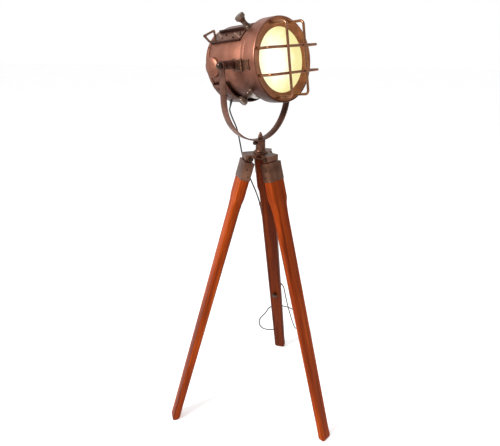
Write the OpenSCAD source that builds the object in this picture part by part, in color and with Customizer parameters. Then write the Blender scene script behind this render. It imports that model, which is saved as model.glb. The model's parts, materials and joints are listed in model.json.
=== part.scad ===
// Studio-style spotlight floor lamp on a three-legged wooden stand.
// Millimetres, +Z up. The origin is on the floor, under the pan axis.

/* [Stand] */
// Height of the tilt axis above the floor
tilt_z = 1342; // [1300:1:1380]
// Distance of the right and rear feet from the pan axis
foot_r = 334; // [310:1:350]
// How much further out the left foot stands
left_extra = 24; // [0:1:30]
// Height of the leg pivots above the floor
pivot_z = 1037; // [1034:1:1038]
// Width of a leg just below its ferrule
leg_w = 63; // [60:1:64]
// Thickness of a leg just below its ferrule
leg_t = 31; // [29:1:32]
// Width of a leg at the foot
foot_w = 46; // [42:1:48]
// Thickness of a leg at the foot
foot_t = 26; // [22:1:28]

/* [Head] */
// Radius of the drum
drum_r = 110; // [108:0.5:110]
// Radius of the lens door's band
bezel_r = 125; // [124:0.5:126]
// Diameter of the guard rods
rod_d = 8; // [7:0.1:8.2]
// Turn of the head about the pan axis at rest
head_yaw = 225; // [215:1:235]
// Upward tilt of the beam at rest
head_tilt = 8; // [0:1:12]

/* [Cord] */
// Diameter of the supply cord
cord_d = 5; // [4:0.5:6]

/* [Hidden] */
$fn = 64;

bronze = "#5a4030";
copper = "#a8654c";
dark = "#2c241f";
oak = "#8a4513";
black = "#101010";

gap = 0.3;        // air between bodies that move past each other
run = 0.05;       // radial clearance of a running fit
sheet = 2;        // thickness of the spun head shells

// Legs and hub
pivot_r = 43;
leg_len = sqrt((foot_r - pivot_r) * (foot_r - pivot_r) + pivot_z * pivot_z);
AZ_RIGHT = 46;
AZ_LEFT = 288;
AZ_REAR = 164;
AZIMUTHS = [AZ_RIGHT, AZ_LEFT, AZ_REAR];
function lean(az) = atan((foot_r + (az == AZ_LEFT ? left_extra : 0) - pivot_r) / pivot_z);
tongue_w = 39.4;
tongue_t = 19.4;
tongue_top = 7.1;
shoulder_s = 13.5;
swell_s = 135;
swell_end_s = 165;
taper_w = 54;
taper_t = 30;
ferrule_s0 = 12.3;
ferrule_s1 = 75;
bolt_r = 4;
arm_top_z = 1050;
arm_bottom_z = 1029.1;
arm_t = 3;
lip_t = 2;
arm_reach = 58;
cheek_in = 20;
cheek_t = 4;
cheek_r = 11.5;
flange_r = 24.8;
flange_z = 1060;
boss_r = 16.3;
boss_z = 1092.7;

// Yoke
yoke_w = 25;
yoke_t = 4;
arm_near = 160;
arm_far = 133;
yoke_bend_z = -100;
yoke_bottom = -247;
yoke_ear_r = 14;
pan_bolt_r = 5;
tilt_bolt_r = 4;
boss_near = 145.7;
boss_far = 118.7;

// Head, along the beam from the tilt axis
drum_y0 = -130;
drum_y1 = 38;
cap_y0 = -133;
collar_y0 = 36;
collar_y1 = 49.2;
collar_r = 119.5;
door_y0 = 51.2;
face_y = 101;
lip_r = 95;
glass_y = 90.3;
hinge_x = 128.8;
hinge_y = 50.5;
hinge_z = -4;
knuckle_r = 3.4;
pin_r = 1.7;
guard_span = 105;
guard_off = 37;
guard_corner = 12;
guard_front_y = 156;
guard_back_y = guard_front_y - rod_d + 0.2;
screw_lean = 12;
screw_base_r = 124;
screw_y = 40;
THETA_TOP = 53;
THETA_BOTTOM = -41;
THETA_FAR = 150;
TRAY_LOW = 37;
TRAY_HIGH = 58.5;
GLAND_THETA = -68;
gland_y = -106;
gland_r = 116.6;
relief_l = 22;

// Cord route: from the gland under the drum to the plug on the floor
ROUTE = [
    [-98.4, 24.7, 1199.4], [-100.6, 20.1, 1187.7], [-95, 25, 1166],
    [-80, 39, 1122], [-72, 50, 1080],
    [-64, 60, 1028], [-51, 69, 982], [-38, 79, 933], [-19, 94, 878],
    [-4, 108, 826], [3, 118, 785], [10, 132, 748], [25, 145, 718],
    [41, 154, 690], [48, 174, 620], [56, 200, 520], [64, 222, 440],
    [73, 231, 412], [88, 233, 396], [100, 240, 372],
    [112, 272, 300], [126, 306, 225], [142, 345, 146], [158, 383, 75],
    [171, 417, 27], [184, 452, 5], [197, 490, 2.6], [203, 530, 2.6],
    [190, 590, 2.6], [145, 638, 2.6], [88, 655, 2.6], [48, 638, 2.6],
    [24, 589, 2.6], [-5, 535, 2.6], [-8, 490, 2.6], [8, 456, 2.6],
    [42, 440, 2.6], [72, 448, 2.6], [88, 472, 2.6], [90, 500, 2.6]
];
SPLIT_YOKE = 2;
SPLIT_HUB = 5;
SPLIT_LEG = 9;
SPLIT_FLOOR = 19;
rings_per_span = 2;
cord_sides = 8;

// Placement

module on_head() {
    translate([0, 0, tilt_z]) rotate([0, 0, head_yaw]) rotate([head_tilt, 0, 0]) children();
}

module on_yoke() {
    translate([0, 0, tilt_z]) rotate([0, 0, head_yaw]) children();
}

// Turns a profile drawn as [radius, distance along the beam] into a solid
module spun(profile) {
    rotate([-90, 0, 0]) rotate_extrude($fn = 96) polygon(profile);
}

// A frame on the drum's side: +X outward at the angle theta, +Y along the beam
module at_rim(theta, radius, y) {
    rotate([0, -theta, 0]) translate([radius, y, 0]) children();
}

// A frame at a leg's pivot: +X outward, +Y tangential, -Z down along the leg
module at_leg(az) {
    rotate([0, 0, az - 90]) translate([pivot_r, 0, pivot_z]) rotate([0, -lean(az), 0]) children();
}

// A rod along +X, between two distances
module x_rod(radius, x0, x1) {
    translate([x0, 0, 0]) rotate([0, 90, 0]) cylinder(r = radius, h = x1 - x0);
}

function smooth(t) = t * t * (3 - 2 * t);

// Hub

module hub_arm(az) {
    outer = cheek_in + cheek_t;
    rotate([0, 0, az - 90]) {
        translate([0, -outer, arm_top_z - arm_t]) cube([arm_reach, 2 * outer, arm_t]);
        translate([arm_reach - lip_t, -outer, arm_bottom_z])
            cube([lip_t, 2 * outer, arm_top_z - arm_bottom_z]);
        for (side = [-1, 1]) difference() {
            union() {
                translate([26, side * (cheek_in + cheek_t / 2) - cheek_t / 2, pivot_z])
                    cube([arm_reach - 26, cheek_t, arm_top_z - pivot_z]);
                translate([pivot_r, side * (cheek_in + cheek_t / 2), pivot_z])
                    rotate([90, 0, 0]) cylinder(r = cheek_r, h = cheek_t, center = true);
            }
            translate([pivot_r, side * (cheek_in + cheek_t / 2), pivot_z])
                rotate([90, 0, 0]) cylinder(r = bolt_r, h = cheek_t + 1, center = true);
        }
    }
}

module hub_casting() {
    color(bronze) difference() {
        union() {
            rotate_extrude() polygon([
                [0, 1047], [22.6, 1047], [flange_r, 1048.4], [flange_r, 1052.5], [22, 1055.5],
                [18.6, 1057], [17.4, flange_z], [boss_r, flange_z + 1], [boss_r, boss_z - 1.2],
                [boss_r - 1.2, boss_z], [0, boss_z]
            ]);
            for (az = AZIMUTHS) hub_arm(az);
        }
        translate([0, 0, 1040]) cylinder(r = pan_bolt_r, h = 60);
        pan_lock_frame() cylinder(r = 3 + run, h = 12);
    }
}

module pan_bolt() {
    color(dark) {
        translate([0, 0, 1038.5]) cylinder(r = pan_bolt_r - run, h = 67);
        translate([0, 0, 1040.5]) cylinder(r = 8.5, h = 6.4, $fn = 6);
    }
}

module pan_washer() {
    color(bronze) translate([0, 0, 1097.7]) difference() {
        cylinder(r = 8, h = 1.3);
        translate([0, 0, -1]) cylinder(r = pan_bolt_r, h = 4);
    }
}

module finial_nut() {
    color(bronze) translate([0, 0, 1099.2]) difference() {
        rotate_extrude() polygon([
            [0, 0], [8, 0], [8, 6], [7.2, 7], [6.2, 12], [4.2, 16], [3.4, 18.6], [1.8, 20], [0, 20]
        ]);
        translate([0, 0, -1]) cylinder(r = pan_bolt_r, h = 7.8);
    }
}

module leg_bolts() {
    outer = cheek_in + cheek_t;
    color(dark) for (az = AZIMUTHS) rotate([0, 0, az - 90]) translate([pivot_r, 0, pivot_z])
        rotate([-90, 0, 0]) difference() {
            union() {
                translate([0, 0, -outer - 1]) cylinder(r = bolt_r, h = 2 * outer + 9);
                translate([0, 0, -outer - 5]) cylinder(r = 6.6, h = 5);
            }
            translate([-8, -0.8, -outer - 5.2]) cube([16, 1.6, 1.8]);
        }
}

module leg_nuts() {
    color(dark) for (az = AZIMUTHS) rotate([0, 0, az - 90]) translate([pivot_r, 0, pivot_z])
        rotate([-90, 0, 0]) translate([0, 0, cheek_in + cheek_t]) difference() {
            cylinder(r = 7.2, h = 6, $fn = 6);
            translate([0, 0, -1]) cylinder(r = bolt_r, h = 9);
        }
}

// The pan lock stands on the boss, on the side of the cord
module pan_lock_frame() {
    translate([0, 0, 1085.5]) rotate([0, 0, 215]) translate([boss_r - 10, 0, 0]) rotate([0, 90, 0]) children();
}

module pan_lock_screw() {
    color(dark) pan_lock_frame() translate([0, 0, 2]) {
        cylinder(r = 3, h = 10);
        translate([0, 0, 8.6]) rotate_extrude() polygon([
            [0, 0], [4.6, 0], [4.6, 1.2], [6.2, 2], [6.2, 9.4], [5, 11], [0, 11.4]
        ]);
    }
}

// Legs

// Half width and half thickness of a leg at a distance s below the pivot
function half_at(s, top, after, foot) =
    s < swell_s ? top / 2
    : s < swell_end_s ? (top + (after - top) * smooth((s - swell_s) / (swell_end_s - swell_s))) / 2
    : (after + (foot - after) * (s - swell_end_s) / (leg_len - swell_end_s)) / 2;

STATIONS = concat([shoulder_s, swell_s], [for (i = [1:7]) swell_s + i * (swell_end_s - swell_s) / 8],
    [swell_end_s, leg_len + 16]);

function leg_outline(top, after, foot) = concat(
    [for (s = STATIONS) [half_at(s, top, after, foot), -s]],
    [for (i = [len(STATIONS) - 1:-1:0]) [-half_at(STATIONS[i], top, after, foot), -STATIONS[i]]]
);

module leg(az) {
    color(oak) at_leg(az) difference() {
        union() {
            intersection() {
                rotate([90, 0, 90]) linear_extrude(2 * leg_w, center = true)
                    polygon(leg_outline(leg_w, taper_w, foot_w));
                rotate([90, 0, 0]) linear_extrude(2 * leg_w, center = true)
                    polygon(leg_outline(leg_t, taper_t, foot_t));
            }
            rotate([90, 0, 0]) linear_extrude(tongue_w, center = true) {
                circle(r = tongue_t / 2);
                translate([0, -1]) square([tongue_t / 2, tongue_top + 1]);
                translate([-tongue_t / 2, -shoulder_s - 1]) square([tongue_t, shoulder_s + 1]);
            }
        }
        rotate([90, 0, 0]) cylinder(r = bolt_r + run, h = 2 * leg_w, center = true);
        rotate([0, lean(az), 0]) translate([-80, -80, -pivot_z - 60]) cube([500, 160, 60]);
    }
}

module leg_right() { leg(AZ_RIGHT); }
module leg_left() { leg(AZ_LEFT); }
module leg_rear() { leg(AZ_REAR); }

// A sheet sleeve round a leg's end, open on the inner face
module ferrule(az) {
    color(bronze) at_leg(az) difference() {
        translate([-leg_t / 2 - 1, -leg_w / 2 - 1, -ferrule_s1])
            cube([leg_t + 2, leg_w + 2, ferrule_s1 - ferrule_s0]);
        translate([-leg_t / 2, -leg_w / 2, -ferrule_s1 - 1])
            cube([leg_t, leg_w, ferrule_s1 - shoulder_s + 1]);
        translate([-leg_t / 2 - 3, -leg_w / 2 + 4, -ferrule_s1 - 1])
            cube([10, leg_w - 8, ferrule_s1 - shoulder_s - 4]);
        translate([-tongue_t / 2, -tongue_w / 2, -shoulder_s - 1])
            cube([tongue_t, tongue_w, shoulder_s + 1]);
    }
}

module ferrule_right() { ferrule(AZ_RIGHT); }
module ferrule_left() { ferrule(AZ_LEFT); }
module ferrule_rear() { ferrule(AZ_REAR); }

// Two round-headed nails on each narrow side of a ferrule
module ferrule_nails(az) {
    color(dark) at_leg(az) for (side = [-1, 1], nail = [[5, -36], [-5, -60]])
        translate([nail[0], side * (leg_w / 2 + 1), nail[1]]) rotate([-90 * side, 0, 0])
            rotate_extrude() polygon([[0, 0], [3.6, 0], [3.1, 1.2], [1.8, 2], [0, 2.2]]);
}

module ferrule_nails_right() { ferrule_nails(AZ_RIGHT); }
module ferrule_nails_left() { ferrule_nails(AZ_LEFT); }
module ferrule_nails_rear() { ferrule_nails(AZ_REAR); }

// Cord clips on the rear leg: a ring on its edge, and a ring on its outer face
module leg_cord_clips() {
    color(dark) at_leg(AZ_REAR) {
        translate([0, half_at(226, leg_w, taper_w, foot_w), -226]) cord_clip([0, 0, 90], 4.8);
        translate([half_at(427, leg_t, taper_t, foot_t), 0, -427]) cord_clip([0, 0, 0], 4.3);
    }
}

module cord_clip(turn, reach) {
    rotate(turn) difference() {
        union() {
            translate([reach, 0, -5]) cylinder(r = 4.6, h = 10);
            translate([-0.2, -4.6, -5]) cube([reach, 9.2, 10]);
        }
        translate([reach, 0, -6]) cylinder(r = cord_d / 2 + 0.2, h = 12);
    }
}

// Turned button on the inner face of the rear leg
module leg_knob() {
    color(dark) at_leg(AZ_REAR)
        translate([-half_at(705, leg_t, taper_t, foot_t), 0, -705]) rotate([0, -90, 0])
            rotate_extrude() polygon([[0, -0.1], [8, -0.1], [8, 2], [11, 4], [11, 8], [9, 10], [0, 11]]);
}

// Yoke

// The yoke's line from ear to ear, offset by d to the outside; its far arm is nearer the head
function yoke_line(d) = concat(
    [[arm_near + d, 0]],
    [for (a = [0:5:180]) [
        (a < 90 ? arm_near - 5 + d : arm_far - 3 + d) * cos(a),
        yoke_bend_z + (yoke_bottom - d - yoke_bend_z) * sin(a)
    ]],
    [[-arm_far - d, 0]]
);

function reversed(points) = [for (i = [len(points) - 1:-1:0]) points[i]];

module yoke_strap() {
    color(bronze) on_yoke() difference() {
        union() {
            rotate([90, 0, 0]) linear_extrude(yoke_w, center = true)
                polygon(concat(yoke_line(yoke_t / 2), reversed(yoke_line(-yoke_t / 2))));
            for (x = [arm_near, -arm_far]) translate([x, 0, 0])
                rotate([0, 90, 0]) cylinder(r = yoke_ear_r, h = yoke_t, center = true);
            translate([0, 0, yoke_bottom - yoke_t / 2]) cylinder(r = 14, h = yoke_t);
        }
        rotate([0, 90, 0]) cylinder(r = tilt_bolt_r + run, h = 2 * arm_near + 20, center = true);
        translate([0, 0, yoke_bottom - 10]) cylinder(r = pan_bolt_r, h = 20);
    }
}

module tilt_spacer(x0, x1) {
    difference() {
        x_rod(13, x0, x1);
        x_rod(tilt_bolt_r + run, x0 - 1, x1 + 1);
    }
}

module tilt_spacers() {
    color(bronze) on_yoke() {
        tilt_spacer(boss_near + gap, arm_near - yoke_t / 2);
        scale([-1, 1, 1]) tilt_spacer(boss_far + gap, arm_far - yoke_t / 2);
    }
}

module tilt_knob(side, bolt_start, arm) {
    x0 = arm + yoke_t / 2 + gap;
    color(bronze) on_head() rotate([0, 90 * side, 0]) {
        translate([0, 0, bolt_start]) cylinder(r = tilt_bolt_r, h = x0 + 1 - bolt_start);
        translate([0, 0, x0]) rotate_extrude() polygon([
            [0, 0], [8.6, 0], [10, 1.6], [10, 7], [9.2, 10.4], [6.8, 13], [3.6, 14.4], [0, 14.8]
        ]);
    }
}

module tilt_knob_near() { tilt_knob(1, 122, arm_near); }
module tilt_knob_far() { tilt_knob(-1, 108, arm_far); }

// Head shells

module drum_shell() {
    color(copper) on_head() difference() {
        spun([
            [drum_r - sheet, drum_y0], [drum_r, drum_y0],
            [drum_r, drum_y1], [drum_r - sheet, drum_y1]
        ]);
        for (side = [-1, 1]) rotate([0, 90 * side, 0]) cylinder(r = 6, h = drum_r + 10);
        at_rim(GLAND_THETA, drum_r - 10, gland_y) x_rod(6, 0, 20);
    }
}

module drum_collar() {
    color(copper) on_head() spun([
        [drum_r + 0.02, collar_y0], [collar_r - 2, collar_y0], [collar_r, collar_y0 + 2.4],
        [collar_r, collar_y1 - 2.4], [collar_r - 2, collar_y1], [drum_r - 6, collar_y1],
        [drum_r - 6, drum_y1 + 0.05], [drum_r + 0.02, drum_y1 + 0.05]
    ]);
}

module rear_cap() {
    color(copper) on_head() difference() {
        spun([
            [0, cap_y0 - 9], [30, cap_y0 - 8], [70, cap_y0 - 5], [102, cap_y0], [drum_r + 1.2, cap_y0 + 3],
            [drum_r + 1.2, drum_y0 + 12], [drum_r + 0.05, drum_y0 + 12], [drum_r + 0.05, cap_y0 + 3.6],
            [101, cap_y0 + 2], [70, cap_y0 - 3], [30, cap_y0 - 6], [0, cap_y0 - 7]
        ]);
        for (x = [-36:18:36]) translate([x - 3, cap_y0 - 20, -30]) cube([6, 30, 60]);
    }
}

// Small screws of the head: rear cap, side covers and hinge leaf
module pan_head(radius) {
    rotate([0, 90, 0]) rotate_extrude() polygon([
        [0, -0.1], [radius, -0.1], [radius, 0.6], [radius * 0.7, 1.6], [0, 2]
    ]);
}

module shell_screws() {
    color(dark) on_head() {
        for (theta = [30:60:330]) at_rim(theta, drum_r + 1.2, drum_y0 + 7) pan_head(2.6);
        for (side = [-1, 1]) translate([side * (drum_r + 4.6), -112, -26]) scale([side, 1, 1]) pan_head(2.4);
        for (y = [26, 33], z = [-15, 7]) translate([122.4, y, z]) pan_head(2.2);
    }
}

module air_scoop() {
    color(copper) on_head() difference() {
        rotate([-90, 0, 0]) rotate([0, 0, 28]) rotate_extrude(angle = 124, $fn = 96) polygon([
            [drum_r - 1, -119], [118, -119], [122, -116], [122, -56], [120, -50],
            [118, -50], [120, -57], [120, -115.4], [117.4, -117], [drum_r - 1, -117]
        ]);
        for (theta = [-50, -100]) at_rim(theta, 112, -84) x_rod(4, 0, 20);
        at_rim(-35, 112, -92) translate([0, -8, -2]) cube([20, 16, 4]);
        at_rim(GLAND_THETA, 115, gland_y) x_rod(7.5, 0, 20);
    }
}

// Trays on the drum's upper sides, each between a low outer rail and a high inner wall

module vent_rails() {
    color(dark) on_head() for (side = [-1, 1]) scale([side, 1, 1]) {
        at_rim(TRAY_LOW, drum_r - 0.8, -116) translate([0, 0, -2.2]) cube([7.8, 131, 4.4]);
        at_rim(TRAY_HIGH, drum_r - 0.8, -103) translate([0, 0, -2]) cube([12.8, 125, 4]);
    }
}

module arc_plate(theta0, theta1, r0, r1, y0, y1) {
    rotate([-90, 0, 0]) rotate([0, 0, -theta1]) rotate_extrude(angle = theta1 - theta0, $fn = 96)
        polygon([[r0, y0], [r1, y0], [r1, y1], [r0, y1]]);
}

module vent_panel() {
    color(copper) on_head() {
        for (side = [-1, 1]) scale([side, 1, 1])
            arc_plate(TRAY_LOW + 1, TRAY_HIGH - 1, drum_r + 1, drum_r + 3, -110, 16);
        difference() {
            arc_plate(TRAY_HIGH + 1, 179 - TRAY_HIGH, drum_r + 4, drum_r + 6, -100, 18);
            for (y = [-88:14:6]) at_rim(90, drum_r, y) translate([0, -2.5, -34]) cube([20, 5, 68]);
        }
    }
}

// A rib that crosses the tray at a slant
module tray_rib(theta0, y0, theta1, y1) {
    steps = 5;
    for (i = [0:steps - 1]) {
        t = (i + 0.5) / steps;
        at_rim(theta0 + (theta1 - theta0) * t, drum_r + 2.6, y0 + (y1 - y0) * t)
            rotate([-atan2(y1 - y0, (theta1 - theta0) * PI / 180 * drum_r) - 90, 0, 0])
                translate([0, -5.6, -1.5]) cube([3.4, 11.2, 3]);
    }
}

module vent_gussets() {
    color(bronze) on_head() for (side = [-1, 1]) scale([side, 1, 1]) {
        tray_rib(TRAY_LOW + 2.6, 14, 51, -25);
        tray_rib(45, -75, TRAY_HIGH - 3.2, -108);
    }
}

module vent_bolts() {
    color(dark) on_head() for (side = [-1, 1], spot = [[47, 6], [52, -2], [43, -22], [50, -62]])
        scale([side, 1, 1]) at_rim(spot[0], drum_r + 2.8, spot[1]) rotate([0, 90, 0]) cylinder(r = 3.2, h = 2.8, $fn = 6);
}

// Corners of a polygon rounded off by quadratic curves that start at a given distance
function eased(points, d) = [
    for (i = [0:len(points) - 1]) let (
        n = len(points), p = points[i], a = points[(i + n - 1) % n], b = points[(i + 1) % n],
        u = p + d * (a - p) / norm(a - p), v = p + d * (b - p) / norm(b - p)
    ) for (t = [0:0.25:1]) (1 - t) * (1 - t) * u + 2 * t * (1 - t) * p + t * t * v
];

module safety_loop() {
    color(bronze) on_head() translate([84, 0, 0]) rotate([90, 0, 90]) linear_extrude(3) difference() {
        polygon(eased([[-98, 108], [-161, 95], [-130, 69], [-98, 69]], 8));
        polygon(eased([[-105, 100], [-145, 91.5], [-127, 76], [-105, 76]], 5));
    }
}

module side_covers() {
    color(copper) on_head() for (side = [-1, 1]) translate([0, -100, -3]) rotate([0, 90 * side, 0])
        rotate_extrude() polygon([
            [0, 104], [31, 104], [31, 113], [28, 116], [14, 118.4], [0, 119]
        ]);
}

module trunnion_boss(boss_end, hole_start) {
    difference() {
        rotate_extrude() polygon([
            [0, 105], [17, 105], [17, 111], [14.6, 113], [13, 115], [13, boss_end], [0, boss_end]
        ]);
        translate([0, 0, hole_start]) cylinder(r = tilt_bolt_r + run, h = boss_end - hole_start + 1);
    }
}

module trunnion_bosses() {
    color(copper) on_head() {
        rotate([0, 90, 0]) trunnion_boss(boss_near, 121);
        rotate([0, -90, 0]) trunnion_boss(boss_far, 107);
    }
}

// Hinge of the lens door

module knuckle(z0, z1) {
    difference() {
        translate([hinge_x, hinge_y, hinge_z + z0]) cylinder(r = knuckle_r, h = z1 - z0);
        translate([hinge_x, hinge_y, hinge_z + z0 - 1]) cylinder(r = pin_r + run, h = z1 - z0 + 2);
    }
}

module hinge_leaf_drum() {
    color(bronze) on_head() {
        difference() {
            union() {
                translate([108.3, 6, hinge_z - 16.5]) cube([11.7, 29.5, 33]);
                translate([119.9, 6, hinge_z - 16.5]) cube([2.5, 43, 33]);
            }
            rotate([0, 90, 0]) cylinder(r = 17.4, h = 140);
            translate([hinge_x, hinge_y, hinge_z - 6]) cylinder(r = knuckle_r + gap, h = 12);
        }
        for (span = [[-16.5, -6], [6, 16.5]]) {
            knuckle(span[0], span[1]);
            difference() {
                translate([120, 44, hinge_z + span[0]]) cube([7.6, 5, span[1] - span[0]]);
                translate([hinge_x, hinge_y, hinge_z - 20]) cylinder(r = pin_r + 1, h = 40);
            }
        }
    }
}

module hinge_leaf_door() {
    color(bronze) on_head() {
        knuckle(-5.7, 5.7);
        difference() {
            translate([124.8, 52.4, hinge_z - 15]) cube([2.6, 27, 30]);
            translate([hinge_x, hinge_y, hinge_z - 20]) cylinder(r = pin_r + 1, h = 40);
            for (z = [-20, 5.7]) translate([hinge_x, hinge_y, hinge_z + z])
                cylinder(r = knuckle_r + gap, h = 14.3);
        }
    }
}

module hinge_pin() {
    color(dark) on_head() translate([hinge_x, hinge_y, hinge_z - 17.5]) {
        cylinder(r = pin_r, h = 35);
        translate([0, 0, -1]) cylinder(r = 2.6, h = 1.8);
        translate([0, 0, 34.2]) cylinder(r = 2.6, h = 1.8);
    }
}

// Door clamps: thumb screws that lean a little back over the drum

module clamp_frame(theta) {
    at_rim(theta, screw_base_r, screw_y) rotate([0, 0, -screw_lean]) rotate([0, 90, 0]) children();
}

module clamp_lugs() {
    color("#8d8378") on_head() {
        for (theta = [THETA_TOP, THETA_BOTTOM, THETA_FAR]) difference() {
            union() {
                clamp_frame(theta) translate([0, 0, -7]) cylinder(r = 8.4, h = 10);
                at_rim(theta, 117, collar_y0 - 3) translate([0, 0, -7.5]) cube([5.4, 15, 15]);
            }
            clamp_frame(theta) translate([0, 0, -1.6]) cylinder(r = 4 + run, h = 12);
        }
        at_rim(-58, drum_r - 2, 16) translate([0, 0, -7]) cube([13, 24, 14]);
    }
}

module clamp_screw(theta) {
    color("#6b5a48") on_head() clamp_frame(theta) rotate_extrude() polygon([
        [0, -1.2], [4, -1.2], [4, 3.3], [10, 3.3], [10, 6.6], [8.2, 9], [7.4, 14],
        [7.2, 23], [8.4, 28], [13.6, 31.6], [15.2, 33.4], [15.2, 41.4], [13.2, 43.6], [0, 44]
    ]);
}

module clamp_screw_top() { clamp_screw(THETA_TOP); }
module clamp_screw_bottom() { clamp_screw(THETA_BOTTOM); }
module clamp_screw_far() { clamp_screw(THETA_FAR); }

// Light source and wiring inside the drum

module reflector() {
    color("gold") on_head() spun(concat(
        [for (i = [0:12]) [24 + 78 * i / 12, -88 + 112 * (i / 12) * (i / 12)]],
        [[drum_r - sheet - 0.05, 24], [drum_r - sheet - 0.05, 25.4], [101.5, 25.4]],
        [for (i = [12:-1:0]) [22.6 + 78 * i / 12, -86.8 + 112 * (i / 12) * (i / 12)]]
    ));
}

module lamp_socket() {
    color("white") on_head() spun([
        [0, -126], [26, -126], [26, -122], [19, -120], [19, -82], [14, -78], [14, -90], [0, -90]
    ]);
}

module bulb() {
    color("lightyellow") on_head() spun([
        [0, -89.9], [13, -89.9], [13, -66], [18, -56], [29, -40], [34, -24], [34, -10], [28, 4], [16, 13], [0, 16]
    ]);
}

module cord_gland() {
    color(dark) on_head() at_rim(GLAND_THETA, 0, gland_y) difference() {
        union() {
            x_rod(9, drum_r - 0.6, gland_r);
            x_rod(6, drum_r - sheet - 6, drum_r);
        }
        x_rod(cord_d / 2, drum_r - 12, drum_r + 8);
    }
}

module cord_relief() {
    color(black) on_head() at_rim(GLAND_THETA, gland_r, gland_y) rotate([0, 90, 0])
        rotate_extrude() polygon([
            [0, -6], [cord_d / 2 - 0.1, -6], [cord_d / 2 - 0.1, 0], [5.4, 0], [4.8, 5],
            [3.3, 18], [cord_d / 2 + 0.3, relief_l], [0, relief_l]
        ]);
}

// Lens door

module bezel_ring() {
    color(copper) on_head() spun([
        [121.5, door_y0], [124, door_y0], [bezel_r, door_y0 + 1.5], [bezel_r, 97],
        [124.4, 99.4], [122.5, face_y], [119.5, face_y], [97, 93], [lip_r, 92.5],
        [lip_r, glass_y], [98.5, glass_y], [118.6, 98], [122.5, 97]
    ]);
}

module lens_glass() {
    color([1, 0.9, 0.6]) on_head() spun([
        [0, glass_y - 4 + 3], [40, glass_y - 4 + 2.6], [98, glass_y - 4], [98, glass_y - 0.05],
        [94, glass_y - 0.05], [40, glass_y + 1.6], [0, glass_y + 2]
    ]);
}

module lens_gasket() {
    color(dark) on_head() spun([
        [94, glass_y - 7.5], [98.4, glass_y - 7.5], [100.4, glass_y - 1], [98.05, glass_y - 1], [98.05, glass_y - 4.05], [94, glass_y - 4.05]
    ]);
}

// A guard rod bent into a staple: its feet stand on the door, its middle crosses the beam
module guard_bar(front_y, turn, off) {
    color(copper) on_head() rotate([0, turn, 0]) translate([0, 0, off]) {
        for (side = [0, 1]) mirror([side, 0, 0]) {
            translate([guard_span, 97.6, 0]) rotate([-90, 0, 0])
                cylinder(d = rod_d, h = front_y - guard_corner - 97.6);
            translate([guard_span - guard_corner, front_y - guard_corner, 0])
                rotate_extrude(angle = 90) translate([guard_corner, 0]) circle(d = rod_d, $fn = 32);
        }
        translate([0, front_y, 0]) x_rod(rod_d / 2, guard_corner - guard_span, guard_span - guard_corner);
    }
}

module guard_bar_top() { guard_bar(guard_back_y, 0, guard_off); }
module guard_bar_bottom() { guard_bar(guard_back_y, 0, -guard_off); }
module guard_bar_near() { guard_bar(guard_front_y, 90, guard_off); }
module guard_bar_far() { guard_bar(guard_front_y, 90, -guard_off); }

module door_screws() {
    color(dark) on_head() {
        for (y = [62, 74], z = [-10, 10]) translate([127.4, y, hinge_z + z]) pan_head(2.6);
        for (theta = [-27, 93, 213]) at_rim(theta, bezel_r, 82) pan_head(2.2);
    }
}

// Cord: a tube swept along the route

function spline(points, i, t) =
    let (
        n = len(points) - 1,
        a = points[max(i - 1, 0)], b = points[i], c = points[i + 1], d = points[min(i + 2, n)]
    )
    0.5 * (2 * b + (c - a) * t + (2 * a - 5 * b + 4 * c - d) * t * t + (3 * b - 3 * c + d - a) * t * t * t);

// How the spline runs at the same place
function slope(points, i, t) =
    let (
        n = len(points) - 1,
        a = points[max(i - 1, 0)], b = points[i], c = points[i + 1], d = points[min(i + 2, n)]
    )
    unit(0.5 * ((c - a) + 2 * (2 * a - 5 * b + 4 * c - d) * t + 3 * (3 * b - 3 * c + d - a) * t * t));

function unit(v) = v / norm(v);

// The path's rings, each a point and the direction there
function samples(first, last) = concat(
    [for (i = [first:last - 1], k = [0:rings_per_span - 1])
        [spline(ROUTE, i, k / rings_per_span), slope(ROUTE, i, k / rings_per_span)]],
    [[ROUTE[last], slope(ROUTE, last - 1, 1)]]
);

// Two directions across the path at each ring, turned as little as possible from the last
function side_dirs(rings, i = 0, last = [0, 1, 0]) =
    i >= len(rings) ? []
    : let (
        along = rings[i][1],
        side = unit(last - (last * along) * along)
    ) concat([[side, cross(along, side)]], side_dirs(rings, i + 1, side));

module tube(rings, radius) {
    dirs = side_dirs(rings);
    n = cord_sides;
    points = [for (i = [0:len(rings) - 1], k = [0:n - 1])
        rings[i][0] + radius * (cos(360 * k / n) * dirs[i][0] + sin(360 * k / n) * dirs[i][1])];
    sides = [for (i = [0:len(rings) - 2], k = [0:n - 1])
        [(i + 1) * n + k, (i + 1) * n + (k + 1) % n, i * n + (k + 1) % n, i * n + k]];
    start = [for (k = [0:n - 1]) k];
    finish = [for (k = [n - 1:-1:0]) (len(rings) - 1) * n + k];
    polyhedron(points, concat(sides, [start, finish]));
}

module cord_part(first, last) { color(black) tube(samples(first, last), cord_d / 2); }
module cord_head() { cord_part(0, SPLIT_YOKE); }
module cord_yoke() { cord_part(SPLIT_YOKE, SPLIT_HUB); }
module cord_hub() { cord_part(SPLIT_HUB, SPLIT_LEG); }
module cord_leg() { cord_part(SPLIT_LEG, SPLIT_FLOOR); }
module cord_floor() { cord_part(SPLIT_FLOOR, len(ROUTE) - 1); }

// Two-pin plug lying on the floor
module plug() {
    end = ROUTE[len(ROUTE) - 1];
    color(black) translate([end[0], end[1], 11]) {
        translate([-13, 22, -11]) cube([26, 30, 22]);
        for (x = [-6.5, 6.5]) translate([x, 52, 0]) translate([-3, 0, -0.8]) cube([6, 18, 1.6]);
    }
    color(black) translate([end[0], end[1] + 22, 2.6]) rotate([90, 0, 0])
        cylinder(r = 2.6, h = 22);
}

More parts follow.
